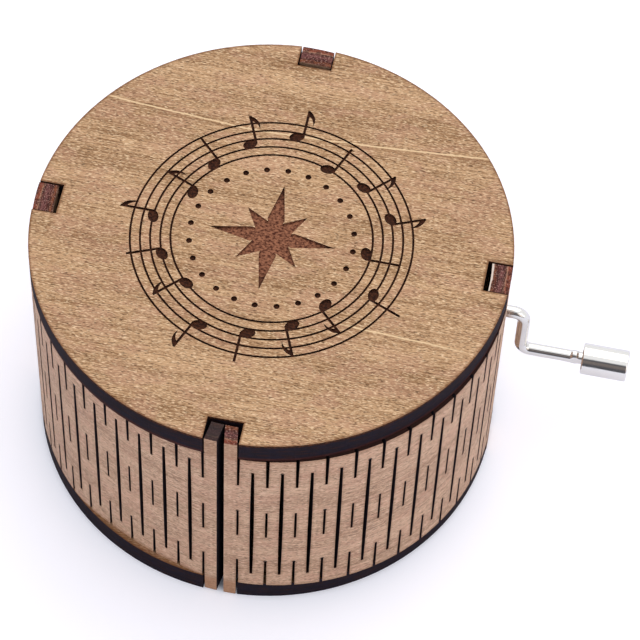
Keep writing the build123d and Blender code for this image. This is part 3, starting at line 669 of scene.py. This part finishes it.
def drawn_aside(angle, height):
    """How far a slit's corner is drawn towards larger angles, or back, at the wall's outside."""
    turns = (angle % 90 - SLIT_START) / SLIT_PITCH
    for low, high, first_pitch, (at_low, at_middle, at_high) in slit_rows:
        column = round(turns - first_pitch) + first_pitch
        aside = (turns - column) * SLIT_PITCH * DEGREE
        inside = 0 <= column <= SLIT_PITCHES and low - SAME_PLACE < height < high + SAME_PLACE
        # The outermost short slits are cut beside a tab, and the tab stays whole
        beside_tab = (column, aside < 0) in ((0, True), (SLIT_PITCHES, False))
        if inside and abs(aside) < REACH and not beside_tab:
            share = (height - low) / (high - low)
            gape = at_low * (1 - share) + at_high * share + at_middle * 4 * share * (1 - share)
            return gape if aside > 0 else -gape
    return 0


# %% Closing a modelled piece
WELD = 1e-4  # points of a modelled piece that are nearer to each other than this are joined


def finished_piece(name, shape, smooth_below):
    """Makes a bmesh in millimetres an object, with smooth shading where it bends less than an angle."""
    bmesh.ops.remove_doubles(shape, verts=shape.verts, dist=WELD)
    bmesh.ops.recalc_face_normals(shape, faces=shape.faces)
    bmesh.ops.scale(shape, verts=shape.verts, vec=(MM, MM, MM))
    for face in shape.faces:
        face.smooth = True
    for edge in shape.edges:
        edge.smooth = edge.calc_face_angle(pi) < smooth_below
    mesh = bpy.data.meshes.new(name)
    shape.to_mesh(mesh)
    shape.free()
    piece = bpy.data.objects.new(name, mesh)
    scene.collection.objects.link(piece)
    print(name, "has", len(mesh.polygons), "faces")
    return piece


def cut_across(shape, place, normal):
    """Cuts a bmesh along a plane, and keeps both sides."""
    everything = shape.verts[:] + shape.edges[:] + shape.faces[:]
    bmesh.ops.bisect_plane(shape, geom=everything, plane_co=place, plane_no=normal, dist=SAME_PLACE)


# %% The wall
plain = nodes["side_wall"].data.copy()
plain.attributes.remove(plain.attributes["custom_normal"])
wall = bmesh.new()
wall.from_mesh(plain)
bmesh.ops.scale(wall, verts=wall.verts, vec=(1 / MM, 1 / MM, 1 / MM))
bmesh.ops.remove_doubles(wall, verts=wall.verts, dist=SAME_PLACE)
for cut in range(1, CUTS_ALONG_SLIT):
    share = cut / CUTS_ALONG_SLIT
    cut_across(wall, (0, 0, LONG_SLIT_LOW + (LONG_SLIT_TOP - LONG_SLIT_LOW) * share), (0, 0, 1))

moved = 0
for vert in wall.verts:
    angle = degrees(atan2(-vert.co.x, vert.co.y))
    outward = Vector((vert.co.x, vert.co.y, 0)).normalized()
    onward = Vector((-outward.y, outward.x, 0))
    from_long_axis = atan2(vert.co.y, vert.co.x) + pi / 4
    outer_radius = oval_radius(from_long_axis, rim_radius)
    inner_radius = oval_radius(from_long_axis, rim_radius - wall_thickness)
    share = (vert.co.xy.length - inner_radius) / (outer_radius - inner_radius)
    aside = drawn_aside(angle, vert.co.z) * share
    swell = between(angle, LEFT_FLUSH) * (rim_radius - outer_radius)
    tuck = between(angle, SEAM_TUCK) * TUCK_DEPTH
    vert.co += onward * aside + outward * (swell - tuck)
    moved += aside != 0
print(moved, "corners of slits are drawn apart")
bmesh.ops.dissolve_degenerate(wall, edges=wall.edges, dist=SAME_PLACE)
bmesh.ops.triangulate(wall, faces=wall.faces, quad_method="BEAUTY", ngon_method="BEAUTY")
bent_wall = finished_piece("side_wall_bent", wall, radians(30))
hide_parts("side_wall")
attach(bent_wall, "case")
bent_wall.data.materials.append(finishes["wall_plywood"])

# %% [markdown]
# ## The crank's wire
#
# On the real box this is one length of 2 mm wire, bent twice in a small jig and
# pinched flat beside the knob, so that the knob can't slide along the handle. The
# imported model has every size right, but its pinch starts with a hard step, and real
# metal flows. So the wire is drawn as it is made: one ring of points is pushed
# along, spun round each bend, and pressed between two jaws at the pinch.

# %% Sizes of the wire and the knob
ARM_X = rim_radius + 2.4
BEND_RADIUS = 1.7
PINCH_LENGTH = 1.3
PINCH_HEIGHT = 2.5
PINCH_THICKNESS = 1.5
PINCH_SHOULDER = 0.35  # over which the pinch grows, and fades again
KNOB_PLAY = 0.2

shaft_y, shaft_z = shaft_centre.yz
handle_z = joint_places["knob_spin"].z

wire_low, wire_high = (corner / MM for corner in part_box("crank_wire"))
knob_low, knob_high = (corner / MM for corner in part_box("crank_knob"))
wire_radius = wire_high.z - shaft_z
knob_radius = knob_high.z - handle_z
pinch_end = knob_low.x - KNOB_PLAY
pinch_start = pinch_end - PINCH_LENGTH
print("wire", round(2 * wire_radius, 2), "mm, knob", round(2 * knob_radius, 2), "mm across")


# %% Moves that draw a wire
HOLD = 0.04  # a ring this near to the end of a straight run keeps its shading straight
STEPS_OF_BEND = 14


def ring_of(verts):
    """The edges that join the given vertices to each other."""
    chosen = set(verts)
    return list({edge for vert in verts for edge in vert.link_edges if set(edge.verts) <= chosen})


def push(wire, ring, step, squeeze=(1, 1, 1)):
    """Pushes the end ring of a wire along by a step and squeezes it. Returns the new end ring."""
    made = bmesh.ops.extrude_edge_only(wire, edges=ring)["geom"]
    verts = [part for part in made if isinstance(part, bmesh.types.BMVert)]
    bmesh.ops.translate(wire, verts=verts, vec=step)
    middle = sum((vert.co for vert in verts), Vector()) / len(verts)
    bmesh.ops.scale(wire, verts=verts, vec=squeeze, space=Matrix.Translation(-middle))
    return ring_of(verts)


def run(wire, ring, step):
    """A straight run, with a short ring at each end."""
    step = Vector(step)
    hold = step.normalized() * HOLD
    for part in (hold, step - 2 * hold, hold):
        ring = push(wire, ring, part)
    return ring


def turn(wire, ring, centre, angle):
    """Takes the end ring of a wire round a bend about the Y direction."""
    verts = list({vert for edge in ring for vert in edge.verts})
    made = bmesh.ops.spin(
        wire, geom=verts + ring, cent=centre, axis=(0, 1, 0), dvec=(0, 0, 0),
        angle=angle, steps=STEPS_OF_BEND,
    )["geom_last"]
    return ring_of([part for part in made if isinstance(part, bmesh.types.BMVert)])


# %% The wire as far as the pinch
POINTS_OF_RING = 40

wire = bmesh.new()
across = Matrix.Translation((wire_low.x, shaft_y, shaft_z)) @ Matrix.Rotation(pi / 2, 4, "Y")
start = bmesh.ops.create_circle(wire, segments=POINTS_OF_RING, radius=wire_radius, matrix=across)["verts"]
end = ring_of(start)
end = run(wire, end, (ARM_X - BEND_RADIUS - wire_low.x, 0, 0))
end = turn(wire, end, (ARM_X - BEND_RADIUS, shaft_y, shaft_z - BEND_RADIUS), pi / 2)
end = run(wire, end, (0, 0, handle_z - shaft_z + 2 * BEND_RADIUS))
end = turn(wire, end, (ARM_X + BEND_RADIUS, shaft_y, handle_z + BEND_RADIUS), -pi / 2)
end = run(wire, end, (pinch_start - PINCH_SHOULDER - ARM_X - BEND_RADIUS, 0, 0))
print(len(wire.verts), "points draw the wire as far as the pinch")

# %% The pinch and the end of the wire
RINGS_OF_SHOULDER = 5
BULGE = 1.06  # keeps each ring wider than the gap of the jaws, which then press it flat
END_EDGE = 0.15

# The pinch grows and fades over a few rings, each squeezed a little more or less
higher = (PINCH_HEIGHT / 2 / wire_radius) ** (1 / RINGS_OF_SHOULDER)
thinner = (PINCH_THICKNESS / 2 / wire_radius) ** (1 / RINGS_OF_SHOULDER) * BULGE
for squeeze in (Vector((1, thinner, higher)), Vector((1, 1 / thinner, 1 / higher))):
    for ring_count in range(RINGS_OF_SHOULDER):
        end = push(wire, end, (PINCH_SHOULDER / RINGS_OF_SHOULDER, 0, 0), squeeze)
    if squeeze.z > 1:
        end = run(wire, end, (PINCH_LENGTH - 2 * PINCH_SHOULDER, 0, 0))
end = run(wire, end, (wire_high.x - pinch_end - PINCH_SHOULDER, 0, 0))

# Two flat jaws, which close from both sides of the pinch towards its middle
first_x = pinch_start - PINCH_SHOULDER
last_x = pinch_end + PINCH_SHOULDER
for vert in wire.verts:
    if first_x < vert.co.x < last_x:
        into_pinch = min(vert.co.x - first_x, last_x - vert.co.x)
        closed = min(into_pinch / (2 * PINCH_SHOULDER), 1)
        gap = wire_radius + (PINCH_THICKNESS / 2 - wire_radius) * closed
        vert.co.y = shaft_y + max(-gap, min(gap, vert.co.y - shaft_y))

ends = bmesh.ops.holes_fill(wire, edges=[edge for edge in wire.edges if edge.is_boundary])["faces"]
rims = list({edge for face in ends for edge in face.edges})
bmesh.ops.bevel(
    wire, geom=rims, offset=END_EDGE, offset_type="OFFSET",
    affect="EDGES", segments=3, profile=0.5, material=-1,
)
crank_wire = finished_piece("crank_wire_bent", wire, radians(50))
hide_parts("crank_wire")
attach(crank_wire, "crank")
crank_wire.data.materials.append(finishes["crank_nickel"])

# %% [markdown]
# ## The knob
#
# The knob is turned from bar, so it is one outline spun about its axis: a bore for
# the wire, and at the outer end a recess that hides the washer on the wire's end. A
# lathe leaves a sharp corner that is broken with a file, and that soft corner is what
# catches the light, so the two outer rims get a rounded bevel of several segments.

# %% The knob's outline, spun about its axis
KNOB_BORE = 1.05
RECESS_RADIUS = 1.8
RECESS_DEPTH = 1.0
STEPS_OF_KNOB = 72

knob = bmesh.new()
outline = (
    (knob_low.x, KNOB_BORE),
    (knob_low.x, knob_radius),
    (knob_high.x, knob_radius),
    (knob_high.x, RECESS_RADIUS),
    (knob_high.x - RECESS_DEPTH, RECESS_RADIUS),
    (knob_high.x - RECESS_DEPTH, KNOB_BORE),
)
corners = [knob.verts.new((x, shaft_y, handle_z + radius)) for x, radius in outline]
sides = [knob.edges.new((a, b)) for a, b in zip(corners, corners[1:] + corners[:1])]
bmesh.ops.spin(
    knob, geom=corners + sides, cent=(0, shaft_y, handle_z), axis=(1, 0, 0), dvec=(0, 0, 0),
    angle=2 * pi, steps=STEPS_OF_KNOB, use_merge=True,
)
bmesh.ops.remove_doubles(knob, verts=knob.verts, dist=WELD)
bmesh.ops.recalc_face_normals(knob, faces=knob.faces)
print("the outline has", len(outline), "corners and gives", len(knob.faces), "faces")

# %% The knob's soft edges
OUTER_EDGE = 0.28
INNER_EDGE = 0.08
OUTER_RIM = knob_radius - 0.1  # sharp edges beyond this radius are the outer rims
CUT_BEHIND = 0.05  # a cut this far behind each rounded rim keeps the side's shading straight


def rims_at(radius_low, radius_high):
    """The sharp circular edges of the knob whose radius lies between two limits."""
    found = []
    for edge in knob.edges:
        off_axis = [Vector((v.co.y - shaft_y, v.co.z - handle_z)).length for v in edge.verts]
        level = abs(edge.verts[0].co.x - edge.verts[1].co.x) < WELD
        between_limits = min(off_axis) > radius_low and max(off_axis) < radius_high
        if level and between_limits and edge.calc_face_angle(0) > radians(60):
            found.append(edge)
    return found


for width, low, high, segments in (
    (OUTER_EDGE, OUTER_RIM, knob_radius + 0.1, 5), (INNER_EDGE, KNOB_BORE / 2, OUTER_RIM, 2)
):
    bmesh.ops.bevel(
        knob, geom=rims_at(low, high), offset=width, offset_type="OFFSET",
        affect="EDGES", segments=segments, profile=0.5, material=-1,
    )
for cut_x in (knob_low.x + OUTER_EDGE + CUT_BEHIND, knob_high.x - OUTER_EDGE - CUT_BEHIND):
    cut_across(knob, (cut_x, 0, 0), (1, 0, 0))
crank_knob = finished_piece("crank_knob_turned", knob, radians(40))
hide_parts("crank_knob")
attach(crank_knob, "knob")
crank_knob.data.materials.append(finishes["knob_nickel"])

# %% [markdown]
# ## Floor, lights and the white studio
#
# The box stands on a white sweep. One soft light from above and behind, one from the
# front right, a weaker one from the left and a bright world give a lid and a wall of
# nearly the same brightness. Nickel needs something dark to show its shape, so for
# reflections only, the world is dark towards the front, like a room behind the
# camera.

# %% Floor
FLOOR_SIZE = 4.0
FLOOR_COLOUR = (0.86, 0.87, 0.93, 1)
GLOW_COLOUR = (0.94, 0.94, 1.0, 1)
GLOW_SEEN = 0.34  # lifts the floor to white for the camera
GLOW_IN_GLOSS = 0.10

floor_mesh = bpy.data.meshes.new("floor")
sheet = bmesh.new()
bmesh.ops.create_grid(sheet, x_segments=1, y_segments=1, size=FLOOR_SIZE)
sheet.to_mesh(floor_mesh)
sheet.free()
floor = bpy.data.objects.new("floor", floor_mesh)
scene.collection.objects.link(floor)
floor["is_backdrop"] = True


def ray_kinds(tree):
    """Three masks: what the camera sees itself, in something glossy, and through something clear."""
    paths = tree.nodes.new("ShaderNodeLightPath")
    return [Wire(tree, paths.outputs[f"Is {kind} Ray"]) for kind in ("Camera", "Glossy", "Transmission")]


# Under the box the floor doesn't glow, or its light would show in the gap at the seam
floor_material, floor_place, _ = start_finish("floor_sweep")
seen, seen_in_gloss, seen_through = ray_kinds(floor_material.node_tree)
from_axis = floor_place.node("ShaderNodeVectorMath", {"operation": "LENGTH"}, {0: floor_place}, "Value")
# The glow also fades over the first millimetre beside the rim, which paints a thin contact shade round the base
beside_box = from_axis.step(rim_radius - 1.5, rim_radius + 1.0)
lift = (seen.most(seen_through) * GLOW_SEEN + seen_in_gloss * GLOW_IN_GLOSS) * beside_box
matt = seen.node("ShaderNodeBsdfDiffuse", None, {"Color": FLOOR_COLOUR})
glow = seen.node("ShaderNodeEmission", None, {"Color": GLOW_COLOUR, "Strength": lift})
send_out(seen.node("ShaderNodeAddShader", None, {0: matt, 1: glow}))
floor_mesh.materials.append(floor_material)
print("the floor is", 2 * FLOOR_SIZE, "m wide")


# %% Lamps
LAMP_TINT = (1.0, 0.91, 0.82)
LAMP_TINT_ABOVE = (1.0, 0.93, 0.85)


def soft_light(name, direction, distance, size, power, tint):
    """A square soft light that stands off in a direction and looks at the box."""
    lamp = bpy.data.lights.new(name, "AREA")
    lamp.size = size
    lamp.energy = power
    lamp.color = tint
    holder = bpy.data.objects.new(name, lamp)
    away = Vector(direction).normalized()
    middle = Vector((0, 0, case_top * MM / 2))
    holder.location = middle + away * distance
    holder.rotation_euler = away.to_track_quat("Z", "Y").to_euler()
    scene.collection.objects.link(holder)
    print(name, "gives", power, "W")


soft_light("light_above", (0.15, 0.45, 1.0), distance=0.9, size=0.9, power=3.4, tint=LAMP_TINT_ABOVE)
soft_light("light_right", (1.0, -0.75, 0.6), distance=1.1, size=0.8, power=1.9, tint=LAMP_TINT)
soft_light("light_left", (-1.0, -0.35, 0.5), distance=1.1, size=0.8, power=1.0, tint=LAMP_TINT)

# %% World
WHITE = (1.0, 1.0, 1.0)
WORLD_COLOUR = (0.85, 0.87, 0.94)  # what lights the box
WORLD_STRENGTH = 0.78
ROOM_DARK = (0.085, 0.085, 0.095)
ROOM_WALL = (0.20, 0.17, 0.16)

world = bpy.data.worlds.new("studio")
scene.world = world
world.use_nodes = True
tree = world.node_tree
tree.nodes.clear()
seen, seen_in_gloss, seen_through = ray_kinds(tree)
outward = Wire(tree, tree.nodes.new("ShaderNodeTexCoord").outputs["Generated"])

# back is 1 straight behind the box and -1 straight in front of it
back = outward.node("ShaderNodeSeparateXYZ", None, {0: outward}, 1)
room = back.step(-0.48, -0.60)
wall_of_room = back.step(-0.66, -0.74) * back.step(-0.96, -0.88)
room_colour = paint(wall_of_room, ROOM_DARK, ROOM_WALL)
gloss_colour = paint(room, WHITE, room_colour)
colour = paint(seen_in_gloss, WORLD_COLOUR, gloss_colour)
colour = paint(seen.most(seen_through), colour, WHITE)
strength = seen_in_gloss.most(seen).most(seen_through) * (1 - WORLD_STRENGTH) + WORLD_STRENGTH
shine = outward.node("ShaderNodeBackground", None, {"Color": colour, "Strength": strength})
send_out(shine, "ShaderNodeOutputWorld")
scene.view_settings.view_transform = "Standard"
print("the world lights the box at", WORLD_STRENGTH, "and shows white to the camera")

# %% Sizes before and after
sizes = {
    "cad": [list(corner) for corner in cad_bounds],
    "visual": [list(corner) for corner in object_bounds()],
}
print("the dressed box measures", [round((b - a) / MM, 1) for a, b in zip(*sizes["visual"])], "mm")
